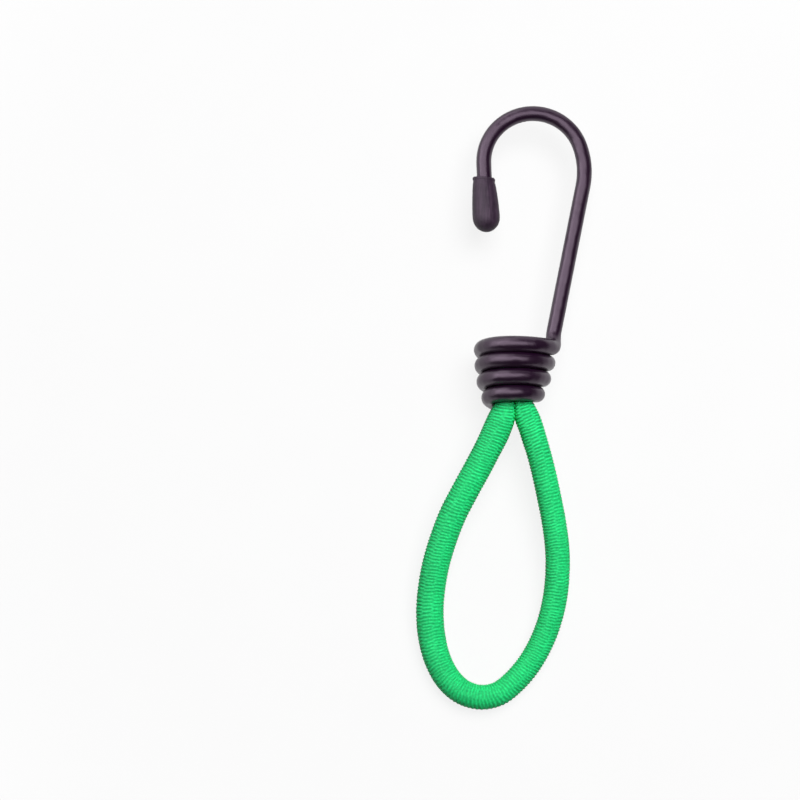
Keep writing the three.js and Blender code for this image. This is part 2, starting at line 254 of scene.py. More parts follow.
@dataclass(frozen=True)
class SheathFinish:
    """Braided polyester yarn: bright green ribs with fine filaments on top, with painted shade in the grooves
    between them and a painted highlight on their crests.
    """

    # The groove colour is painted shade and the crest colour is a painted highlight; the flank is the yarn's
    # own green.
    groove: str = "#17ab5e"
    flank: str = "#24df7f"
    crest: str = "#2ef291"
    # Real filaments are finer than this: they are drawn so coarse that they show.
    filament_mm: float = 0.09
    filament_length_mm: float = 1.6
    filament_depth_mm: float = 0.03
    # Random flecks of lighter and darker yarn: partly the yarn's own uneven tone, partly a painted glint of
    # shiny filaments.
    fleck_mm: float = 0.5
    fleck_tone_and_glint: float = 0.2
    patch_mm: float = 7.0

    def build(self) -> bpy.types.Material:
        """Make the material.

        Returns:
            The material.
        """
        material, tree, shader, place = new_material("braided_polyester")
        crest = add_node(tree, "Attribute", {"attribute_name": "crest"}).outputs["Fac"]
        flat = add_node(tree, "UVMap", {"uv_map": "braid"})
        along_yarn = add_node(tree, "Mapping", Vector=flat,
                              Scale=(repeats(self.filament_length_mm), repeats(self.filament_mm), 1.0))
        filament = add_node(tree, "TexNoise", Vector=along_yarn, Scale=1.0, Detail=2.0)
        fleck = add_node(tree, "TexNoise", Vector=place, Scale=repeats(self.fleck_mm), Detail=2.0)
        patch = add_node(tree, "TexNoise", Vector=place, Scale=repeats(self.patch_mm), Detail=3.0)
        fuzz = add_node(tree, "Math", {"operation": "MULTIPLY_ADD"}, i0=filament, i1=0.3, i2=-0.15)
        height = add_node(tree, "Math", {"operation": "ADD"}, i0=crest, i1=fuzz)
        # By the height of the yarn, the ramp paints shade into the grooves and a highlight onto the crests.
        stops = ((0.05, self.groove), (0.5, self.flank), (0.95, self.crest))
        colour = add_node(tree, "ValToRGB", stops=stops, Fac=height)
        # The flecks lighten and darken the yarn at random; the lighter ones are a painted glint of shiny
        # filaments.
        speckle_and_glint = add_node(tree, "MapRange", Value=fleck, From_Min=0.3, From_Max=0.7,
                           To_Min=-self.fleck_tone_and_glint, To_Max=self.fleck_tone_and_glint)
        cloud = add_node(tree, "MapRange", Value=patch, From_Min=0.3, From_Max=0.7, To_Min=0.92, To_Max=1.06)
        shade = add_node(tree, "Math", {"operation": "ADD"}, i0=cloud, i1=speckle_and_glint)
        tinted = add_node(tree, "HueSaturation", Color=colour, Value=shade)
        bump = add_node(tree, "Bump", Strength=0.5, Distance=self.filament_depth_mm * MM, Height=filament)
        set_inputs(tree, shader, Base_Color=tinted, Normal=bump, Roughness=0.62, Specular_IOR_Level=0.15)
        return material


@dataclass(frozen=True)
class LatexFinish:
    """Extruded natural latex: cream strands, dull, with a dusting of talc."""

    body: str = "#b9a77f"
    talc: str = "#ded3b8"
    talc_mm: float = 0.5
    talc_depth_mm: float = 0.03

    def build(self) -> bpy.types.Material:
        """Make the material.

        Returns:
            The material.
        """
        material, tree, shader, place = new_material("natural_latex")
        talc = add_node(tree, "TexNoise", Vector=place, Scale=repeats(self.talc_mm), Detail=5.0)
        colour = add_node(tree, "ValToRGB", stops=((0.35, self.body), (0.7, self.talc)), Fac=talc)
        bump = add_node(tree, "Bump", Strength=0.3, Distance=self.talc_depth_mm * MM, Height=talc)
        set_inputs(tree, shader, Base_Color=colour, Normal=bump, Roughness=0.7)
        return material


@dataclass(frozen=True)
class StripSteelFinish:
    """Zinc-plated steel strip: a grey metal with rolling lines along the strip and dull blotches."""

    bright: str = "#b4b7ba"
    dull: str = "#85888c"
    line_mm: tuple[float, float, float] = (3.0, 0.12, 3.0)
    line_depth_mm: float = 0.02
    blotch_mm: float = 1.5

    def build(self) -> bpy.types.Material:
        """Make the material.

        Returns:
            The material.
        """
        material, tree, shader, place = new_material("zinc_plated_strip")
        rolled = add_node(tree, "Mapping", Vector=place, Scale=tuple(map(repeats, self.line_mm)))
        lines = add_node(tree, "TexNoise", Vector=rolled, Scale=1.0, Detail=3.0)
        blotch = add_node(tree, "TexNoise", Vector=place, Scale=repeats(self.blotch_mm), Detail=5.0)
        colour = add_node(tree, "ValToRGB", stops=((0.35, self.dull), (0.65, self.bright)), Fac=blotch)
        rough = add_node(tree, "MapRange", Value=lines, To_Min=0.28, To_Max=0.5)
        bump = add_node(tree, "Bump", Strength=0.2, Distance=self.line_depth_mm * MM, Height=lines)
        set_inputs(tree, shader, Base_Color=colour, Roughness=rough, Normal=bump, Metallic=1.0)
        return material


@dataclass(frozen=True)
class PaperFinish:
    """White studio paper: plain and matte, burnt out to white but for a soft shadow near the object.

    The burnt-out share lets the camera through to the white world, so a pose that reaches below still shows.
    """

    light: str = "#a2a2a2"
    mottle: str = "#9f9e9f"
    mottle_mm: float = 20.0
    burnt_near: float = 0.64
    near_m: float = 0.1
    far_m: float = 0.5

    def build(self) -> bpy.types.Material:
        """Make the material.

        Returns:
            The material.
        """
        material, tree, shader, place = new_material("studio_paper")
        mottle = add_node(tree, "TexNoise", Vector=place, Scale=repeats(self.mottle_mm), Detail=4.0)
        colour = add_node(tree, "ValToRGB", stops=((0.3, self.mottle), (0.7, self.light)), Fac=mottle)
        set_inputs(tree, shader, Base_Color=colour, Roughness=0.9, Specular_IOR_Level=0.1)
        reach = add_node(tree, "VectorMath", {"operation": "LENGTH"}, i0=place).outputs["Value"]
        burnt = add_node(tree, "MapRange", {"interpolation_type": "SMOOTHSTEP"}, Value=reach,
                         From_Min=self.near_m, From_Max=self.far_m, To_Min=self.burnt_near, To_Max=1.0)
        white = add_node(tree, "Emission", Strength=1.0)
        clear = add_node(tree, "BsdfTransparent")
        ray = add_node(tree, "LightPath").outputs
        surface = shader
        views = (("Glossy", "Transmission", 1.0, white), ("Camera", "Shadow", burnt, clear))
        for first, second, most, look in views:
            seen = add_node(tree, "Math", {"operation": "MAXIMUM"}, i0=ray[f"Is {first} Ray"],
                            i1=ray[f"Is {second} Ray"])
            share = add_node(tree, "Math", {"operation": "MULTIPLY"}, i0=seen, i1=most)
            surface = add_node(tree, "MixShader", i0=share, i1=surface, i2=look)
        set_inputs(tree, tree.nodes["Material Output"], Surface=surface)
        return material


def deselect_all() -> None:
    """Leave nothing selected, so that an operator acts only on the piece in hand."""
    if bpy.context.object and bpy.context.object.mode != "OBJECT":
        bpy.ops.object.mode_set(mode="OBJECT")
    bpy.ops.object.select_all(action="DESELECT")


def take_in_hand(piece: bpy.types.Object) -> None:
    """Select one piece alone and make it active.

    Args:
        piece: The piece to work on.
    """
    deselect_all()
    piece.select_set(True)
    bpy.context.view_layer.objects.active = piece


def add_object(name: str, data: bpy.types.ID) -> bpy.types.Object:
    """Put a mesh, curve, lamp or camera in the scene.

    Args:
        name: The object's name.
        data: What the object holds.

    Returns:
        The new object, at the origin.
    """
    holder = bpy.data.objects.new(name, data)
    bpy.context.scene.collection.objects.link(holder)
    return holder


def name_active(name: str) -> bpy.types.Object:
    """Name the object that an operator has just added.

    Args:
        name: The piece's name.

    Returns:
        The piece.
    """
    piece = bpy.context.object
    piece.name = name
    piece.data.name = name
    return piece


def select_faces(piece: bpy.types.Object, is_chosen: Callable[[bpy.types.MeshPolygon], bool]) -> None:
    """Take a piece in hand and open it in edit mode with some of its faces selected.

    Args:
        piece: The piece to work on.
        is_chosen: Says of a face whether it is selected.
    """
    take_in_hand(piece)
    bpy.context.tool_settings.mesh_select_mode = (False, False, True)
    for polygon in piece.data.polygons:
        polygon.select = is_chosen(polygon)
    bpy.ops.object.mode_set(mode="EDIT")


def inset_faces(steps: tuple[tuple[float, float], ...]) -> None:
    """Inset the selected faces one step after another, each by a width and a depth in millimetres."""
    for width, depth in steps:
        bpy.ops.mesh.inset(thickness=width * MM, depth=depth * MM)


def extrude_edges(x: float, y: float, z: float) -> None:
    """Extrude the selected edges by a distance in millimetres."""
    bpy.ops.mesh.extrude_edges_move(TRANSFORM_OT_translate={"value": (x * MM, y * MM, z * MM)})


def face_outwards() -> None:
    """Turn all faces of the mesh in edit mode outwards and leave edit mode."""
    bpy.ops.mesh.select_all(action="SELECT")
    bpy.ops.mesh.normals_make_consistent(inside=False)
    bpy.ops.object.mode_set(mode="OBJECT")


def apply_modifiers(piece: bpy.types.Object) -> None:
    """Apply every modifier of a piece.

    Args:
        piece: The piece to finish.
    """
    take_in_hand(piece)
    for modifier in list(piece.modifiers):
        bpy.ops.object.modifier_apply(modifier=modifier.name)


def place_in_mesh(piece: bpy.types.Object, matrix: Matrix) -> None:
    """Move a piece and leave its object at the origin, with the place in its mesh.

    Args:
        piece: The piece to place.
        matrix: Where the piece goes.
    """
    take_in_hand(piece)
    piece.matrix_world = matrix
    bpy.ops.object.transform_apply(location=True, rotation=True, scale=True)


def turned_to(place: Vector, right: Vector, back: Vector) -> Matrix:
    """Where a lamp or camera stands that looks away from its back, with its right side given."""
    return Matrix.Translation(place) @ Matrix((right, back.cross(right), back)).transposed().to_4x4()


def dress(piece: bpy.types.Object, *materials: bpy.types.Material) -> None:
    """Give a piece its materials in place of any that it has.

    Args:
        piece: The piece to dress.
        materials: One material for each slot.
    """
    piece.data.materials.clear()
    for material in materials:
        piece.data.materials.append(material)


@dataclass(frozen=True)
class WireRoute:
    """Centreline of the hook's wire, in millimetres: tip, bend, shoulder, shank, corner and coil."""

    diameter: float = 3.5
    bend_radius: float = 11.5
    bend_x: float = 0.05
    bend_y: float = 45.5
    shoulder_radius: float = 18.0
    shoulder_angle: float = 25.0
    tip_lean: float = 7.0
    tip_length: float = 13.5
    foot_rise: float = 4.2
    foot_inset: float = 0.3
    corner_angle: float = 26.0
    corner_handle: float = 2.4
    pitch: float = 3.73
    turns: float = 3.8
    rest_turn: float = 0.75
    coil_set: float = -0.5
    coil_lean: float = -0.45
    lean_turns: tuple[float, float] = (0.5, 1.0)
    # How far the first and the last turns are pressed against the others, and between which turns that eases.
    first_press: float = 0.288
    first_turns: tuple[float, float] = (0.0, 0.9)
    last_press: float = 0.12
    last_turns: tuple[float, float] = (2.6, 3.5)
    # Radius of the coil after each half turn.
    coil_radii: tuple[float, ...] = (8.42, 8.12, 7.6, 7.22, 6.92, 6.45, 5.8, 5.02, 4.8)
    axis_height: float = 9.368
    tip_steps: int = 10
    bend_steps: int = 96
    shoulder_steps: int = 20
    shank_steps: int = 16
    corner_steps: int = 24
    turn_steps: int = 96

    @property
    def bend(self) -> Vector:
        """Centre of the bend, level with the origin."""
        return Vector((self.bend_x, self.bend_y, 0))

    @property
    def tip_angle(self) -> float:
        """Angle of the bend's end on the tip's side."""
        return 180 + self.tip_lean

    @property
    def coil_start(self) -> float:
        """Turn of the coil at which the corner ends."""
        return self.corner_angle / 360

    def coil_radius(self, turn: float) -> float:
        """Radius of the coil's centreline after a number of turns."""
        return float(np.interp(turn, np.arange(len(self.coil_radii)) / 2, self.coil_radii))

    def coil_point(self, turn: float) -> Vector:
        """Point of the coil's centreline, with the end turns pressed against the others.

        Args:
            turn: The number of turns from the coil's wide end.

        Returns:
            The point.
        """
        angle = 2 * math.pi * turn
        radius = self.coil_radius(turn)
        lean = self.coil_lean * smoothstep(turn, *self.lean_turns)
        pressed = self.last_press * smoothstep(turn, *self.last_turns)
        pressed -= self.first_press * (1 - smoothstep(turn, *self.first_turns))
        return Vector((radius * math.cos(angle) + lean,
                       self.pitch * (self.rest_turn - turn) + self.coil_set + pressed,
                       self.axis_height + radius * math.sin(angle)))

    def coil_direction(self, turn: float, step: float = 1e-3) -> Vector:
        """Direction of the coil's centreline after a number of turns."""
        return (self.coil_point(turn + step) - self.coil_point(turn - step)).normalized()

    def arc(self, centre: Vector, radius: float, start: float, end: float, steps: int) -> list[Vector]:
        """Points on a level arc.

        Args:
            centre: The arc's centre.
            radius: The arc's radius.
            start: The first angle, in degrees.
            end: The last angle, in degrees.
            steps: How many steps the arc takes.

        Returns:
            The points from start to end.
        """
        angles = [math.radians(start + (end - start) * i / steps) for i in range(steps + 1)]
        return [Vector((centre.x + radius * math.cos(a), centre.y + radius * math.sin(a), self.axis_height))
                for a in angles]

    def tip_start(self) -> Vector:
        """Where the bend ends and the straight tip starts."""
        return self.arc(self.bend, self.bend_radius, self.tip_angle, self.tip_angle, 1)[0]

    def tip_direction(self) -> Vector:
        """Direction of the straight tip, out of the bend."""
        return Vector((math.sin(math.radians(self.tip_lean)), -math.cos(math.radians(self.tip_lean)), 0))

    def hook_points(self) -> list[Vector]:
        """Points from the tip to the foot of the shank.

        Returns:
            The points of the tip, the bend, the easier shoulder and the shank that leaves it at a tangent.
        """
        easing = math.radians(self.shoulder_angle)
        outward = Vector((math.cos(easing), math.sin(easing), 0))
        shoulder = self.bend - outward * (self.shoulder_radius - self.bend_radius)
        start = self.coil_point(0)
        foot = Vector((start.x - self.foot_inset, start.y + self.foot_rise, self.axis_height))
        reach = Vector((foot.x - shoulder.x, foot.y - shoulder.y))
        tangent = math.degrees(math.atan2(reach.y, reach.x) + math.acos(self.shoulder_radius / reach.length))
        tip = self.tip_start() + self.tip_direction() * self.tip_length
        points = [tip.lerp(self.tip_start(), i / self.tip_steps) for i in range(self.tip_steps)]
        points += self.arc(self.bend, self.bend_radius, self.tip_angle, self.shoulder_angle, self.bend_steps)
        points += self.arc(shoulder, self.shoulder_radius, self.shoulder_angle, tangent,
                           self.shoulder_steps)[1:]
        shank = points[-1]
        return points + [shank.lerp(foot, i / self.shank_steps) for i in range(1, self.shank_steps + 1)]

    def corner_points(self, shank_end: Vector, foot: Vector) -> list[Vector]:
        """Points of the tight corner from the shank into the coil.

        Args:
            shank_end: A point up the shank.
            foot: The foot of the shank, where the corner starts.

        Returns:
            The points after the foot.
        """
        end = self.coil_point(self.coil_start)
        first = foot + (foot - shank_end).normalized() * self.corner_handle
        second = end - self.coil_direction(self.coil_start) * self.corner_handle
        return interpolate_bezier(foot, first, second, end, self.corner_steps + 1)[1:]

    def coil_points(self) -> list[Vector]:
        """Points of the coil after the corner.

        Returns:
            The points, from the corner's end to the cut tail.
        """
        steps = round((self.turns - self.coil_start) * self.turn_steps)
        turns = np.linspace(self.coil_start, self.turns, steps + 1)
        return [self.coil_point(float(turn)) for turn in turns[1:]]


@dataclass(frozen=True)
class HookWire:
    """The hook: one coated wire from its tip in the cap to the cut end of the coil, in millimetres."""

    route: WireRoute
    coil_swell: float = 1.075
    bevel_resolution: int = 14

    def build(self) -> bpy.types.Object:
        """Sweep the wire's section along its route, a little swollen where the coat is thick in the coil.

        Returns:
            The wire as a mesh.
        """
        hook = self.route.hook_points()
        corner = self.route.corner_points(hook[-2], hook[-1])
        points = hook + corner + self.route.coil_points()
        curve = bpy.data.curves.new("hook_wire_dressed", "CURVE")
        curve.dimensions = "3D"
        curve.bevel_depth = self.route.diameter / 2 * MM
        curve.bevel_resolution = self.bevel_resolution
        curve.use_fill_caps = True
        spline = curve.splines.new("POLY")
        spline.points.add(len(points) - 1)
        for i, point in enumerate(points):
            spline.points[i].co = (*(point * MM), 1)
            into_coil = min(max((i - len(hook)) / (2 * len(corner)), 0), 1)
            spline.points[i].radius = 1 + (self.coil_swell - 1) * into_coil
        take_in_hand(add_object("hook_wire_dressed", curve))
        bpy.ops.object.convert(target="MESH")
        bpy.ops.object.shade_smooth_by_angle(angle=SHARP_ANGLE)
        return name_active("hook_wire_dressed")

    def dress(self, piece: bpy.types.Object, coat: bpy.types.Material) -> None:
        """Give the wire its coat and fix it to the hook.

        Args:
            piece: The wire.
            coat: Its material.
        """
        dress(piece, coat)
        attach(piece, Body.HOOK.value)
        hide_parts("hook_wire")


@dataclass(frozen=True)
class TipCap:
    """The rubber cap pushed over the hook's tip, in millimetres."""

    route: WireRoute
    lean: float = 8.3
    mouth_drop: float = 3.6
    length: float = 12.65
    mouth_radius: float = 2.55
    lip_slant: float = 0.32
    slant_length: float = 4.0
    set_left: float = 0.14
    bulb_radius: float = 3.13
    bulb_depth: float = 9.2
    bulb_fullness: float = 1.7
    bulb_rings: int = 12
    dome_rings: int = 10
    bore_radius: float = 1.77
    bore_depth: float = 10.6
    bore_bevel: float = 0.12
    bevel_depth: float = 0.25
    bore_dish: float = 0.2
    lip: float = 0.12
    lip_round: float = 0.16
    segments: int = 72
    # How far below the mouth the lip starts, and how far outside the bore the lip and the outside start.
    lip_depth: float = 0.05
    lip_wall: float = 0.3
    outer_wall: float = 0.4
    jag: float = 0.11
    flutes: int = 24
    flute_depth: float = 0.035
    mould_line: float = 0.05
    seed: int = 5

    # The collar under the lip, ring by ring: how far it stands out from the mouth and how deep it lies.
    COLLAR = ((0.02, 0.1), (0.0, 0.45), (-0.09, 0.62), (-0.1, 0.8))

    def outside(self) -> list[tuple[float, float]]:
        """Rings of the outside, from under the lip to near the bottom.

        Returns:
            The radius and the height of each ring.
        """
        rings = [(self.mouth_radius + wider, self.length - depth) for wider, depth in self.COLLAR]
        neck = rings[-1][0]
        for i in range(2, self.bulb_rings + 1):
            share = i / self.bulb_rings
            swell = neck + (self.bulb_radius - neck) * (1 - (1 - share) ** self.bulb_fullness)
            rings.append((swell, self.length - self.bulb_depth * share))
        bottom = self.length - self.bulb_depth
        for i in range(1, self.dome_rings):
            angle = math.pi / 2 * i / self.dome_rings
            rings.append((self.bulb_radius * math.cos(angle), bottom * (1 - math.sin(angle))))
        return rings

    def inside(self) -> list[tuple[float, float]]:
        """Rings of the lip's edge and of the bore, down to its bottom.

        Returns:
            The radius and the height of each ring.
        """
        rings = [(self.mouth_radius - self.lip_round, self.length + self.lip)]
        rings.append((self.bore_radius + self.bore_bevel, self.length + self.lip * 2 / 3))
        rings.append((self.bore_radius, rings[-1][1] - self.bevel_depth))
        return [*rings, (self.bore_radius, rings[-1][1] - self.bore_depth)]

    def draw(self, rings: list[tuple[float, float]], drop: float) -> None:
        """Extrude the mouth's selected edge from ring to ring and close the last ring with a point.

        Args:
            rings: The radius and the height of each ring.
            drop: How far the closing point lies below the last ring.
        """
        radius, height = self.mouth_radius, self.length
        for next_radius, next_height in rings:
            extrude_edges(0, 0, next_height - height)
            scale = next_radius / radius
            bpy.ops.transform.resize(value=(scale, scale, 1), center_override=(0, 0, 0))
            radius, height = next_radius, next_height
        extrude_edges(0, 0, -drop)
        bpy.ops.mesh.merge(type="CENTER")

    def build(self) -> bpy.types.Object:
        """Draw the cap ring by ring from its lip, then turn its lip in and sink its bore.

        Returns:
            The cap as a mesh, in place on the tip.
        """
        deselect_all()
        bpy.ops.mesh.primitive_circle_add(vertices=self.segments, radius=self.mouth_radius * MM,
                                          location=(0, 0, 0))
        piece = name_active("tip_cap_dressed")
        mouth = self.length * MM
        for vertex in piece.data.vertices:
            vertex.co.z = mouth
        bpy.ops.object.mode_set(mode="EDIT")
        bpy.ops.mesh.select_mode(type="EDGE")
        bpy.ops.mesh.select_all(action="SELECT")
        outside = self.outside()
        self.draw(outside, outside[-1][1])
        bpy.ops.mesh.select_all(action="DESELECT")
        bpy.ops.object.mode_set(mode="OBJECT")
        for edge in piece.data.edges:
            edge.select = all(abs(piece.data.vertices[v].co.z - mouth) < TOUCHING for v in edge.vertices)
        bpy.ops.object.mode_set(mode="EDIT")
        self.draw(self.inside(), self.bore_dish)
        face_outwards()
        self.wear(piece)
        smooth = piece.modifiers.new("smooth", "SUBSURF")
        smooth.levels = smooth.render_levels = 1
        apply_modifiers(piece)
        bpy.ops.object.shade_smooth()
        self.set_on_tip(piece)
        return piece

    def wear(self, piece: bpy.types.Object) -> None:
        """Tear the lip a little, flute the outside and raise the two lines where the mould closed.

        Args:
            piece: The cap, upright.
        """
        draw = random.Random(self.seed)
        jags = [draw.uniform(-1, 1) for _ in range(self.segments)]
        lip_from = (self.length - self.lip_depth) * MM
        lip_inside = (self.bore_radius + self.lip_wall) * MM
        outside_from = (self.bore_radius + self.outer_wall) * MM
        for vertex in piece.data.vertices:
            angle = math.atan2(vertex.co.y, vertex.co.x) % (2 * math.pi)
            sector = int(angle / (2 * math.pi) * self.segments) % self.segments
            across = math.hypot(vertex.co.x, vertex.co.y)
            if vertex.co.z > lip_from and across > lip_inside:
                vertex.co.z += jags[sector] * self.jag * MM
            if across > outside_from:
                nearest_line = min(angle % math.pi, math.pi - angle % math.pi)
                raised = self.mould_line if nearest_line < math.pi / self.segments else 0.0
                swell = 1 + (raised + self.flute_depth * math.cos(angle * self.flutes)) * MM / across
                vertex.co.x *= swell
                vertex.co.y *= swell

    def set_on_tip(self, piece: bpy.types.Object) -> None:
        """Turn the upright cap along the tip, set it there and slant its lip.

        Args:
            piece: The cap, upright with its bottom at the origin.
        """
        mouth = self.route.tip_start() + self.route.tip_direction() * self.mouth_drop
        mouth.x -= self.set_left
        lean = math.radians(self.lean)
        direction = Vector((math.sin(lean), -math.cos(lean), 0))
        bottom = mouth + direction * self.length
        turn = (-direction).to_track_quat("Z", "Y").to_matrix().to_4x4()
        place_in_mesh(piece, Matrix.Translation(bottom * MM) @ turn)
        for vertex in piece.data.vertices:
            offset = vertex.co / MM - mouth
            slope = self.lip_slant * (1 - smoothstep(offset.dot(direction), 0.0, self.slant_length))
            vertex.co += direction * offset.x * float(slope / self.mouth_radius) * MM

    def dress(self, piece: bpy.types.Object, rubber: bpy.types.Material) -> None:
        """Give the cap its rubber and fix it to the hook.

        Args:
            piece: The cap.
            rubber: Its material.
        """
        dress(piece, rubber)
        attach(piece, Body.HOOK.value)
        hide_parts("tip_cap")


@dataclass(frozen=True)
class EndClip:
    """The steel strip crimped round both cord ends, in millimetres, inside the box of its solid in metres."""

    low: tuple[float, float, float]
    high: tuple[float, float, float]
    thickness: float = 0.8
    seam: float = 0.6
    round_steps: int = 14
    flat_steps: int = 4
    dent: float = 0.18
    edge_round: float = 0.12
    edge_angle: float = 50.0
    side_gap: float = 0.05

    @property
    def half_width(self) -> float:
        """Half the clip's width at the middle of the strip's thickness."""
        return (self.high[0] - self.low[0]) / MM / 2 - self.thickness / 2

    @property
    def half_height(self) -> float:
        """Half the clip's height at the middle of the strip's thickness."""
        return (self.high[2] - self.low[2]) / MM / 2 - self.thickness / 2

    def outline(self) -> list[tuple[float, float]]:
        """Points of the strip's middle line round the cords.

        Returns:
            The points across and upright, from one end at the seam to the other.
        """
        bend = self.half_height
        side = self.half_width - bend
        turns = [math.pi * i / self.round_steps for i in range(self.round_steps + 1)]
        right = [(side + bend * math.sin(turn), bend * math.cos(turn)) for turn in turns]
        shares = [i / self.flat_steps for i in range(1, 2 * self.flat_steps)]
        bottom = [(side * (1 - share), self.dent * (1 - abs(share - 1)) - bend) for share in shares]
        left = [(-x, -z) for x, z in right]
        start = (self.seam / 2, self.half_height - self.dent)
        return [start, *right, *bottom, *left, (-start[0], start[1])]

    def build(self) -> bpy.types.Object:
        """Bend a strip round the cords, one extrusion after another, and give it its thickness.

        Returns:
            The clip as a mesh, in place.
        """
        outline = self.outline()
        width = (self.high[1] - self.low[1]) - 2 * self.side_gap * MM
        deselect_all()
        bpy.ops.mesh.primitive_plane_add(size=width, location=(0, 0, 0))
        piece = name_active("end_clip_dressed")
        bpy.ops.object.mode_set(mode="EDIT")
        bpy.ops.mesh.select_all(action="DESELECT")
        bpy.ops.object.mode_set(mode="OBJECT")
        for vertex in piece.data.vertices:
            vertex.select = vertex.co.x < 0
        bpy.ops.object.mode_set(mode="EDIT")
        bpy.ops.mesh.select_mode(type="VERT")
        bpy.ops.mesh.delete(type="VERT")
        bpy.ops.mesh.select_all(action="SELECT")
        bpy.ops.transform.translate(value=(outline[0][0] * MM - width / 2, 0, outline[0][1] * MM))
        for (x0, z0), (x1, z1) in zip(outline, outline[1:]):
            extrude_edges(x1 - x0, 0, z1 - z0)
        face_outwards()
        wall = piece.modifiers.new("wall", "SOLIDIFY")
        wall.thickness = self.thickness * MM
        wall.offset = 0
        edge = piece.modifiers.new("edge", "BEVEL")
        edge.width = self.edge_round * MM
        edge.segments = 2
        edge.limit_method = "ANGLE"
        edge.angle_limit = math.radians(self.edge_angle)
        apply_modifiers(piece)
        bpy.ops.object.shade_smooth_by_angle(angle=SHARP_ANGLE)
        place_in_mesh(piece, Matrix.Translation((Vector(self.low) + Vector(self.high)) / 2))
        return piece

    def dress(self, piece: bpy.types.Object, steel: bpy.types.Material) -> None:
        """Give the clip its steel and fix it to the hook.

        Args:
            piece: The clip.
            steel: Its material.
        """
        dress(piece, steel)
        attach(piece, Body.HOOK.value)
        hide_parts("end_clip")


@dataclass(frozen=True)
class Braid:
    """The sheath's ribs: columns of yarn dashes, whose ends lie between the dashes of the next column."""

    rib_mm: float = 0.745
    depth_mm: float = 0.17
    mean_crest: float = 0.75
    columns: int = 8
    column_edge: tuple[float, float] = (0.38, 0.72)
    end_taper: float = 1.5
    slant: float = 0.15
    twist_per_mm: float = 0.0022
    twist_start_mm: float = 20.0
    lead: int = -2
    wander: float = 0.1

    # How the ribs drift along the cord: by how many ribs, and over how many millimetres.
    DRIFTS = ((0.8, 19.0), (0.25, 4.3))
    # How the dashes of a column stray: over how many millimetres, and how far the next column is out of step.
    STRAYS = ((1.7, 2.4), (0.9, 3.9))

    def crest(self, around: np.ndarray, along: float) -> np.ndarray:
        """Height of the yarn on one ring of the cord's surface.

        Args:
            around: The places round the cord, as shares of a turn.
            along: The distance along the cord, in millimetres.

        Returns:
            Heights from 0 in a groove to 1 on a crest.
        """
        turned = (around - self.twist_per_mm * (along - self.twist_start_mm)) * self.columns
        drift = sum(ribs * math.sin(along / length) for ribs, length in self.DRIFTS)
        ribs = along / self.rib_mm + drift + self.lead * around
        crest = np.zeros_like(around)
        for family in (0, 1):
            across = (turned - 0.5 - family + 1) % 2 - 1
            column = np.rint(turned - 0.5 - across) % self.columns
            stray = sum(np.sin(along / length + step * column) for length, step in self.STRAYS)
            hold = 1 - smoothstep(np.abs(across), *self.column_edge)
            phase = ribs + (1 - 2 * family) * across * self.slant + 0.5 * family + self.wander * stray
            rib = (0.5 + 0.5 * np.cos(2 * math.pi * phase)) ** (1 + self.end_taper * (1 - hold))
            crest = np.maximum(crest, rib * hold)
        return crest


@dataclass
class Station:
    """One place along the cord, in millimetres: centre, direction, half width, half height and squeeze."""

    centre: np.ndarray
    along: np.ndarray
    half_width: float
    half_height: float
    squeeze: float
    distance: float


# A ring of the sheath: its points, their crest heights and its distance along the cord.
Ring = tuple[np.ndarray, np.ndarray, float]


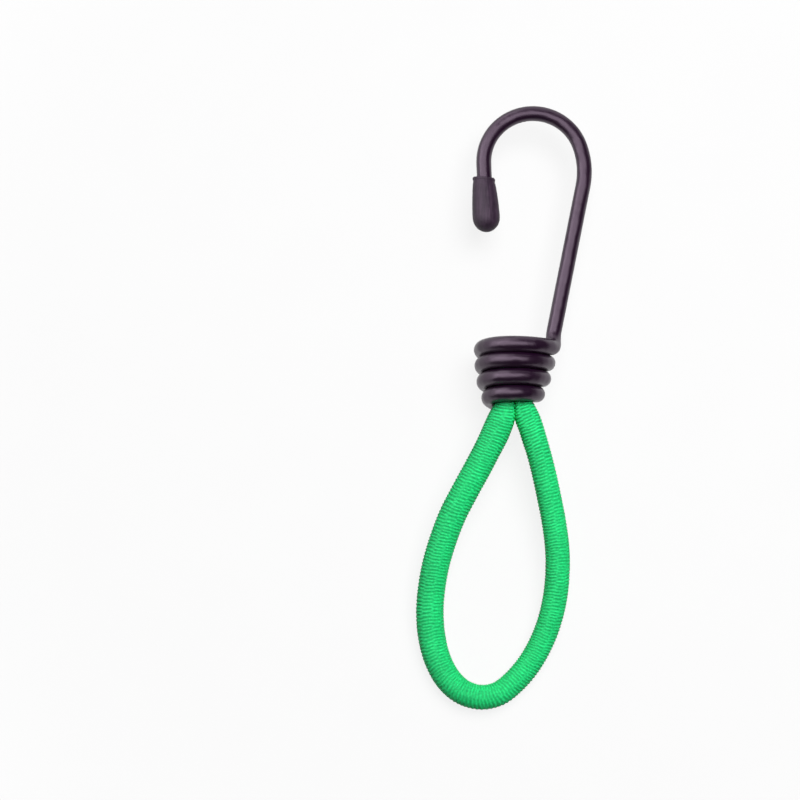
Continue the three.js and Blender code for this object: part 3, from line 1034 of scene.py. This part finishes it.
@dataclass
class ElasticCord:
    """The loop of elastic cord, from one cut end in the coil round the bight to the other, in millimetres."""

    route: WireRoute
    clip_half_width: float
    clip_half_height: float
    clip_top: float
    clip_bottom: float
    braid: Braid
    diameter: float = 6.0
    end_y: float = 3.2
    coil_end_y: float = -10.2
    row_step: float = 1.0
    neck_top_y: float = -15.6
    neck_end_y: float = -27.15
    step: float = 0.124
    sides: int = 80
    floor: float = -0.38
    left_size: float = 1.06
    right_size: float = 0.94
    # The shares of the loop between which its thick left side becomes its thin right side.
    size_change: tuple[float, float] = (0.3, 0.56)
    # The shares of the coil's bore that one cord takes up, and half the gap between the cords.
    bore_width: float = 0.495
    bore_height: float = 0.9
    cord_gap: float = 0.01
    # How much of the wire's thickness the coil's bore gives up, and how high the flattened cord rests.
    wire_share: float = 0.54
    rest_share: float = 0.8
    # Over which distance from the clip its grip fades.
    grip_fade: tuple[float, float] = (0.2, 2.2)
    # At which depths in the coil the ends lean with it, shift to the right and are squeezed flat.
    lean_depth: tuple[float, float] = (-1.0, 2.0)
    shift: float = 0.5
    shift_depth: tuple[float, float] = (4.0, 11.0)
    squeeze_depth: tuple[float, float] = (0.0, 8.0)
    squeeze_flat: float = 3.5
    # How deep the painted groove shade and crest highlight are on the legs against the necks, and where that
    # changes.
    leg_rib_shade: float = 0.5
    rib_shade_y: tuple[float, float] = (-32.0, -19.0)
    # How fast the cut end's colour fades, ring by ring, to the grooves' painted shade down into the cup.
    rim_fade: float = 0.6
    sharp_angle: float = 75.0

    # Where each side leaves the coil's mouth: across and along the pull, half width, half height and squeeze.
    LEFT_MOUTH = (
        (-1.7, -11.6, 2.12, 3.05, 1), (-1.95, -13.1, 2.68, 3.08, 0.8), (-2.3, -15.0, 3.12, 3.12, 0.3),
        (-2.95, -17.2, 3.24, 3.2, 0.1), (-3.72, -19.5, 3.26, 3.24, 0),
    )
    RIGHT_MOUTH = (
        (2.45, -11.2, 2.16, 3.05, 1), (3.0, -12.8, 2.55, 3.02, 0.8), (3.55, -14.3, 2.88, 2.9, 0.3),
        (4.58, -16.6, 2.9, 2.88, 0.1), (5.62, -19.2, 2.88, 2.88, 0),
    )
    # Centreline of the loop from below the left neck to below the right neck: across and along the pull,
    # and the share of the drop from the coil's axis to the height of the cord where it rests.
    LOOP = (
        (-4.7, -22.0, 0.05), (-6.8, -27.0, 0.11), (-9.2, -32.4, 0.21), (-11.6, -38.2, 0.34),
        (-13.3, -44.0, 0.48), (-14.5, -50.0, 0.62), (-15.0, -56.0, 0.76), (-14.8, -61.5, 0.87),
        (-13.8, -66.8, 0.95), (-11.9, -71.8, 0.99), (-9.0, -75.9, 1), (-5.5, -78.3, 1),
        (-1.5, -79.0, 1), (2.3, -77.9, 1), (5.5, -75.1, 1), (8.6, -70.9, 0.99),
        (10.9, -66.2, 0.95), (12.5, -61.2, 0.87), (13.4, -55.8, 0.76), (13.6, -50.2, 0.62),
        (13.1, -44.3, 0.48), (11.9, -38.5, 0.34), (10.2, -32.5, 0.21), (8.5, -27.0, 0.11),
        (6.75, -22.0, 0.05),
    )
    # The share of the drop that the cord has made at the end of the mouth's rows.
    MOUTH_DROP = 0.03
    # The melted rim of a cut end and the cup for the strands: each ring's share of the size, and its rise.
    RIM = ((0.96, 0.16), (0.88, 0.24), (0.8, 0.2), (0.76, 0.0), (0.75, -1.4))

    @property
    def radius(self) -> float:
        """Half the cord's diameter."""
        return self.diameter / 2

    def height(self, drop: float) -> float:
        """Height of the cord's centre after a share of the drop from the coil's axis to its rest."""
        return self.route.axis_height - (self.route.axis_height - self.radius * self.rest_share) * drop

    def bore(self, y: float) -> float:
        """Free radius inside the coil at a place along the pull."""
        turn = self.route.rest_turn - (y - self.route.coil_set) / self.route.pitch
        return self.route.coil_radius(min(turn, self.route.turns)) - self.wire_share * self.route.diameter

    def end_rows(self, side: Side) -> list[tuple[float, ...]]:
        """Rows of a cord end from its cut face to the coil's mouth.

        Args:
            side: The side of the loop.

        Returns:
            The place, half width, half height and squeeze of each row.
        """
        rows = []
        for y in np.arange(self.end_y, self.coil_end_y, -self.row_step):
            half_width = min(self.radius, self.bore_width * self.bore(y))
            half_height = min(self.radius, self.bore_height * self.bore(y))
            beyond = abs(y - (self.clip_top + self.clip_bottom) / 2) - (self.clip_top - self.clip_bottom) / 2
            grip = 1 - smoothstep(beyond, *self.grip_fade)
            half_width += (min(half_width, self.clip_half_width) - half_width) * grip
            half_height += (min(half_height, self.clip_half_height) - half_height) * grip
            across = side.value * (half_width + self.cord_gap)
            across += self.route.coil_lean * smoothstep(-y, *self.lean_depth)
            across += self.shift * smoothstep(-y, *self.shift_depth)
            squeeze = smoothstep(-y, *self.squeeze_depth)
            rows.append((across, y, self.height(0), half_width, half_height, squeeze))
        return rows

    def mouth_rows(self, side: Side) -> list[tuple[float, ...]]:
        """Rows of a cord where it swells out of the coil's mouth.

        Args:
            side: The side of the loop.

        Returns:
            The place, half width, half height and squeeze of each row.
        """
        table = self.LEFT_MOUTH if side is Side.LEFT else self.RIGHT_MOUTH
        drops = np.linspace(0, self.MOUTH_DROP, len(table))
        return [(x, y, self.height(drop), *sizes) for (x, y, *sizes), drop in zip(table, drops)]

    def loop_rows(self) -> list[tuple[float, ...]]:
        """Rows of the free loop, thicker on its left side than on its right.

        Returns:
            The place, half width, half height and squeeze of each row.
        """
        rows = []
        for i, (x, y, drop) in enumerate(self.LOOP):
            right = smoothstep(i / (len(self.LOOP) - 1), *self.size_change)
            size = self.radius * (self.left_size + (self.right_size - self.left_size) * right)
            rows.append((x, y, self.height(drop), size, size, 0.0))
        return rows

    @staticmethod
    def smooth_curve(rows: np.ndarray, samples: int = 60) -> np.ndarray:
        """Draw one smooth curve through rows of a place and its sizes, at a steady pace between them.

        Args:
            rows: The rows, with the place in their first three values.
            samples: How many samples each span gets.

        Returns:
            The samples, one row each.
        """
        padded = np.vstack([2 * rows[0] - rows[1], rows, 2 * rows[-1] - rows[-2]])
        t = np.linspace(0, 1, samples, endpoint=False)[:, None]
        curve = []
        for p0, p1, p2, p3 in zip(padded, padded[1:], padded[2:], padded[3:]):
            d0, d1, d2 = (np.linalg.norm((b - a)[:3]) ** 0.5 for a, b in ((p0, p1), (p1, p2), (p2, p3)))
            start = ((p1 - p0) / d0 - (p2 - p0) / (d0 + d1) + (p2 - p1) / d1) * d1
            end = ((p2 - p1) / d1 - (p3 - p1) / (d1 + d2) + (p3 - p2) / d2) * d1
            curve.append(p1 + start * t + (3 * (p2 - p1) - 2 * start - end) * t ** 2
                         + (2 * (p1 - p2) + start + end) * t ** 3)
        return np.vstack([*curve, rows[-1:]])

    def stations(self) -> list[Station]:
        """Every place along the cord, from the left cut face to the right one, at even steps.

        Returns:
            The places, each with its distance along the cord.
        """
        left = self.end_rows(Side.LEFT) + self.mouth_rows(Side.LEFT)
        right = self.end_rows(Side.RIGHT) + self.mouth_rows(Side.RIGHT)
        fine = self.smooth_curve(np.array(left + self.loop_rows() + right[::-1]))
        reach = np.concatenate([[0], np.cumsum(np.linalg.norm(np.diff(fine[:, :3], axis=0), axis=1))])
        places = np.linspace(0, reach[-1], round(reach[-1] / self.step) + 1)
        even = np.column_stack([np.interp(places, reach, column) for column in fine.T])
        along = np.gradient(even[:, :3], axis=0)
        along /= np.linalg.norm(along, axis=1)[:, None]
        return [Station(row[:3], direction, *row[3:], place)
                for row, direction, place in zip(even, along, places)]

    def split(self, stations: list[Station]) -> tuple[list[Station], list[Station], list[Station]]:
        """Cut the cord where the necks end.

        Args:
            stations: Every place along the cord.

        Returns:
            The left end and neck, the loop, and the right neck and end, sharing the places of the cuts.
        """
        below = [i for i, station in enumerate(stations) if station.centre[1] < self.neck_end_y]
        first, last = below[0], below[-1]
        return stations[:first + 1], stations[first:last + 1], stations[last:]

    def surface(self, name: str, stations: list[Station], cut_start: bool = False,
                cut_end: bool = False) -> bpy.types.Object:
        """Skin a stretch of the cord with its braided sheath.

        Args:
            name: The piece's name.
            stations: The places along the stretch.
            cut_start: Whether the stretch starts with a cut face.
            cut_end: Whether the stretch ends with a cut face.

        Returns:
            The stretch as a closed mesh, with its crest heights and its braid map.
        """
        around = np.arange(self.sides) / self.sides
        rings = [self.ring(station, around) for station in stations]
        if cut_start:
            rings = [*reversed(self.rim(rings[0], stations[0].centre, -stations[0].along)), *rings]
        if cut_end:
            rings = [*rings, *self.rim(rings[-1], stations[-1].centre, stations[-1].along)]
        points = np.vstack([ring[0] for ring in rings]) * MM
        points[:, 2] = np.maximum(points[:, 2], self.floor * MM)
        mesh = bpy.data.meshes.new(name)
        mesh.from_pydata(points.tolist(), [], self.faces(len(rings)))
        mesh.update()
        crests = np.concatenate([ring[1] for ring in rings])
        self.map_braid(mesh, crests, np.array([ring[2] for ring in rings]))
        piece = add_object(name, mesh)
        take_in_hand(piece)
        bpy.ops.object.shade_smooth_by_angle(angle=math.radians(self.sharp_angle))
        return piece

    def ring(self, station: Station, around: np.ndarray) -> Ring:
        """One ring of the sheath's surface.

        A squeezed cord is flat on the side where it presses on the other one.

        Args:
            station: The place along the cord.
            around: The places round the cord, as shares of a turn.

        Returns:
            The ring, with its crest heights drawn together where the painted groove shade and crest highlight
            are weaker.
        """
        across = np.cross((0.0, 0.0, 1.0), station.along)
        across /= np.linalg.norm(across)
        upright = np.cross(station.along, across)
        angle = 2 * math.pi * around
        cos, sin = np.cos(angle), np.sin(angle)
        flatten = np.where(cos > 0, 2 / (2 + self.squeeze_flat * station.squeeze), 1)
        cos, sin = (np.sign(wave) * np.abs(wave) ** flatten for wave in (cos, sin))
        crest = self.braid.crest(around, station.distance)
        grow = (crest - self.braid.mean_crest) * self.braid.depth_mm
        sideways = np.outer((station.half_width + grow) * cos, across)
        upwards = np.outer((station.half_height + grow) * sin, upright)
        # The painted groove shade and crest highlight are deeper at the necks than on the legs.
        in_neck = smoothstep(station.centre[1], *self.rib_shade_y)
        rib_shade = self.leg_rib_shade + (1 - self.leg_rib_shade) * in_neck
        return station.centre + sideways + upwards, 0.5 + (crest - 0.5) * rib_shade, station.distance

    def rim(self, ring: Ring, centre: np.ndarray, outward: np.ndarray) -> list[Ring]:
        """Rings that turn the sheath's melted end in and sink a cup for the rubber strands.

        Args:
            ring: The last ring of the sheath.
            centre: Its centre.
            outward: The way that the cut face looks.

        Returns:
            The rings in order from the outside of the rim to the bottom of the cup.
        """
        points, crest, place = ring
        # Down into the cup the colour fades to the grooves' painted shade.
        return [(centre + (points - centre) * share + outward * rise, crest * self.rim_fade ** i, place)
                for i, (share, rise) in enumerate(self.RIM, start=1)]

    def faces(self, rings: int) -> list[tuple[int, ...]]:
        """Faces of a closed tube of rings.

        Args:
            rings: How many rings the tube has.

        Returns:
            The quads of its wall and the face at each end.
        """
        sides = self.sides
        quads = []
        for i in range(rings - 1):
            for j in range(sides):
                k = (j + 1) % sides
                quads.append((i * sides + j, i * sides + k, (i + 1) * sides + k, (i + 1) * sides + j))
        first = tuple(reversed(range(sides)))
        last = tuple(range((rings - 1) * sides, rings * sides))
        return [*quads, first, last]

    def map_braid(self, mesh: bpy.types.Mesh, crests: np.ndarray, places: np.ndarray) -> None:
        """Store the crest heights and a map of the surface, in metres round and along the cord.

        Args:
            mesh: The stretch's mesh.
            crests: The crest height of each vertex.
            places: The distance along the cord of each ring, in millimetres.
        """
        attribute = mesh.attributes.new("crest", "FLOAT", "POINT")
        attribute.data.foreach_set("value", crests.astype(np.float32))
        layer = mesh.uv_layers.new(name="braid")
        girth = math.pi * self.diameter * MM
        corners = np.empty(len(mesh.loops), dtype=np.int64)
        mesh.loops.foreach_get("vertex_index", corners)
        ring, side = corners // self.sides, corners % self.sides
        # The second and third corner of each of the wall's quads may lie on the first side, a full turn on.
        wraps = np.zeros(len(corners), dtype=bool)
        wall = 4 * (len(places) - 1) * self.sides
        for corner in (1, 2):
            wraps[corner:wall:4] = side[corner:wall:4] == 0
        flat = np.column_stack([(side / self.sides + wraps) * girth, places[ring] * MM])
        layer.data.foreach_set("uv", flat.astype(np.float32).ravel())


@dataclass(frozen=True)
class StrandBundle:
    """The rubber strands that show at a cut end of the cord, in millimetres."""

    centre: Vector
    half_width: float
    half_height: float
    seed: int
    rings: int = 2
    length: float = 1.9
    sides: int = 14
    # Width and depth of each step that rounds the end of a strand.
    rim_steps: tuple[tuple[float, float], ...] = ((0.06, 0.05), (0.1, 0.02))
    sharp_angle: float = 40.0
    jut: tuple[float, float] = (-0.12, 0.2)
    tilt: float = 0.06

    @property
    def strand_radius(self) -> float:
        """Radius of a strand, such that the rings fill the sheath."""
        return min(self.half_width, self.half_height) / (2 * self.rings + 1)

    def places(self) -> list[tuple[float, float]]:
        """Where the strands sit across the cut face.

        Returns:
            The places, one in the middle and then rings of six, twelve and so on.
        """
        found = [(0.0, 0.0)]
        for ring in range(1, self.rings + 1):
            share = 2 * ring / (2 * self.rings + 1)
            for i in range(6 * ring):
                angle = 2 * math.pi * (i + 0.5 * ring) / (6 * ring)
                found.append((self.half_width * share * math.cos(angle),
                              self.half_height * share * math.sin(angle)))
        return found

    def build(self, name: str) -> bpy.types.Object:
        """Model one strand, copy it across the cut face and join the copies.

        Args:
            name: The piece's name.

        Returns:
            The bundle as a mesh, in place.
        """
        draw = random.Random(self.seed)
        deselect_all()
        bpy.ops.mesh.primitive_cylinder_add(vertices=self.sides, radius=self.strand_radius * MM,
                                            depth=self.length * MM)
        strand = name_active(name)
        select_faces(strand, lambda face: face.normal.z > 0.9)
        inset_faces(self.rim_steps)
        bpy.ops.object.mode_set(mode="OBJECT")
        bpy.ops.object.shade_smooth_by_angle(angle=math.radians(self.sharp_angle))
        copies = []
        for x, z in self.places():
            copy = add_object(name, strand.data.copy())
            jut = draw.uniform(*self.jut)
            tilt = Matrix.Rotation(draw.uniform(-self.tilt, self.tilt), 4, "X")
            place = Vector((x * MM, (jut - self.length / 2) * MM, z * MM)) + self.centre * MM
            place_in_mesh(copy, Matrix.Translation(place) @ tilt @ Matrix.Rotation(math.radians(-90), 4, "X"))
            copies.append(copy)
        bpy.data.objects.remove(strand)
        take_in_hand(copies[0])
        for copy in copies:
            copy.select_set(True)
        bpy.ops.object.join()
        return name_active(name)


@dataclass(frozen=True)
class CordDressing:
    """Builds the cord's pieces and dresses them, and fixes the strands of its cut ends to the hook, in
    millimetres.
    """

    cord: ElasticCord
    sheath: bpy.types.Material
    latex: bpy.types.Material
    bend_start_y: float = -15.8
    bend_end_y: float = -26.8
    stretch_start_y: float = -27.6
    stretch_end_y: float = -61.7
    core_share: float = 0.74

    def build(self) -> list[bpy.types.Object]:
        """Build and dress the whole cord.

        Returns:
            Its pieces.
        """
        left, loop, right = self.cord.split(self.cord.stations())
        left_neck = self.cord.surface("left_cord_end", left, cut_start=True)
        loop_piece = self.cord.surface("cord_loop", loop)
        right_neck = self.cord.surface("right_cord_end", right, cut_end=True)
        for piece, side in ((left_neck, "left"), (right_neck, "right")):
            dress(piece, self.sheath)
            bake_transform(piece)
            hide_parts(f"{side}_end_sheath", f"{side}_neck_sheath", f"{side}_neck_core")
        dress(loop_piece, self.sheath)
        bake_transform(loop_piece)
        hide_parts("left_leg_sheath", "left_leg_core", "right_leg_sheath", "right_leg_core",
                    "bight_sheath", "bight_core")
        return [left_neck, loop_piece, right_neck, *self.strands(left[0], right[-1])]

    def strands(self, left: Station, right: Station) -> list[bpy.types.Object]:
        """Build the rubber strands of both cut ends.

        Args:
            left: The left cut face.
            right: The right cut face.

        Returns:
            The two bundles.
        """
        bundles = []
        for name, station, seed in (("left_core", left, 3), ("right_core", right, 8)):
            bundle = StrandBundle(Vector(station.centre), station.half_width * self.core_share,
                                  station.half_height * self.core_share, seed)
            piece = bundle.build(f"{name}_strands")
            dress(piece, self.latex)
            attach(piece, Body.HOOK.value)
            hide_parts(name.replace("core", "end_core"))
            bundles.append(piece)
        return bundles


@dataclass(frozen=True)
class SoftLamp:
    """A soft lamp that looks at the part: it lights the matte surfaces, or shows only in gloss."""

    name: str
    place: tuple[float, float, float]
    size: tuple[float, float]
    radiance: float
    in_gloss: bool

    def hang(self) -> None:
        """Hang the lamp with its first side across the pull, as near as it can be."""
        lamp = bpy.data.lights.new(self.name, "AREA")
        lamp.shape = "RECTANGLE"
        lamp.size, lamp.size_y = self.size
        lamp.energy = self.radiance * math.pi * lamp.size * lamp.size_y
        holder = add_object(self.name, lamp)
        back = Vector(self.place).normalized()
        right = (Vector((1, 0, 0)) - back * back.x).normalized()
        holder.matrix_world = turned_to(self.place, right, back)
        holder.visible_diffuse = not self.in_gloss
        holder.visible_glossy = self.in_gloss


@dataclass(frozen=True)
class Studio:
    """White floor, soft light from above and a camera almost straight above, in metres and degrees."""

    azimuth: float = 5.0
    elevation: float = 82.0
    distance: float = 0.75
    aim: tuple[float, float, float] = (-0.02607, -0.01165, 0.0)
    view_width: float = 0.18664
    sensor_mm: float = 36.0
    floor_size: float = 12.0
    floor_height: float = -0.0004
    sky: float = 0.025
    lamps: tuple[SoftLamp, ...] = (
        SoftLamp("key", (0.17, 0.3, 0.92), (0.7, 0.65), 8.0, False),
        SoftLamp("ceiling", (-0.3, 0.07, 0.94), (2.3, 0.91), 2.9, True),
        SoftLamp("rear_card", (0.0, 1.0, 0.3), (1.1, 0.62), 1.05, True),
        SoftLamp("corner_card", (-0.7, 0.7, 0.5), (1.0, 1.0), 1.95, True),
        SoftLamp("left_card", (-1.0, 0.0, 0.33), (0.6, 1.1), 1.25, True),
    )

    def add_floor(self, paper: bpy.types.Material) -> None:
        """Lay the floor.

        Args:
            paper: The floor's material.
        """
        deselect_all()
        bpy.ops.mesh.primitive_plane_add(size=self.floor_size, location=(0, 0, 0))
        floor = name_active("studio_floor")
        place_in_mesh(floor, Matrix.Translation((0, 0, self.floor_height)))
        dress(floor, paper)

    def add_light(self) -> None:
        """Set a faint sky that is white to the camera alone, and hang the lamps."""
        world = bpy.data.worlds.new("studio_sky")
        bpy.context.scene.world = world
        world.use_nodes = True
        tree = world.node_tree
        ray = add_node(tree, "LightPath").outputs["Is Camera Ray"]
        strength = add_node(tree, "MapRange", Value=ray, To_Min=self.sky, To_Max=WHITE)
        set_inputs(tree, tree.nodes["Background"], Color=(1, 1, 1, 1), Strength=strength)
        for lamp in self.lamps:
            lamp.hang()

    def add_camera(self) -> None:
        """Stand the camera at the photograph's angle."""
        azimuth, elevation = math.radians(self.azimuth), math.radians(self.elevation)
        back = Vector((math.sin(azimuth) * math.cos(elevation), -math.cos(azimuth) * math.cos(elevation),
                       math.sin(elevation)))
        right = Vector((math.cos(azimuth), math.sin(azimuth), 0))
        camera = bpy.data.cameras.new("photo_camera")
        camera.sensor_width = self.sensor_mm
        camera.lens = self.sensor_mm * self.distance / self.view_width
        camera.clip_start = 0.01
        holder = add_object("photo_camera", camera)
        holder.matrix_world = turned_to(Vector(self.aim) + back * self.distance, right, back)
        bpy.context.scene.camera = holder


def main() -> None:
    """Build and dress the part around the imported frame, then the studio."""
    logging.basicConfig(level=logging.INFO, format="%(name)s: %(message)s")
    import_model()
    bpy.context.scene.view_settings.view_transform = "Standard"
    studio = Studio()
    studio.add_camera()
    route = WireRoute()
    low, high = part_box("end_clip")
    clip = EndClip(tuple(low), tuple(high))
    cord = ElasticCord(
        route=route,
        clip_half_width=(clip.half_width - clip.thickness / 2 - clip.side_gap) / 2,
        clip_half_height=clip.half_height - clip.thickness / 2 - clip.dent - clip.side_gap,
        clip_top=high[1] / MM,
        clip_bottom=low[1] / MM,
        braid=Braid(),
    )
    pieces = CordDressing(cord, SheathFinish().build(), LatexFinish().build()).build()
    hook = HookWire(route)
    wire = hook.build()
    hook.dress(wire, CoatedWireFinish().build())
    cap = TipCap(route)
    cap_piece = cap.build()
    cap.dress(cap_piece, CapRubberFinish().build())
    clip_piece = clip.build()
    clip.dress(clip_piece, StripSteelFinish().build())
    for piece in [*pieces, wire, cap_piece, clip_piece]:
        LOG.info("%s: %d faces", piece.name, len(piece.data.polygons))
    studio.add_floor(PaperFinish().build())
    studio.add_light()


if __name__ == "__main__":
    main()
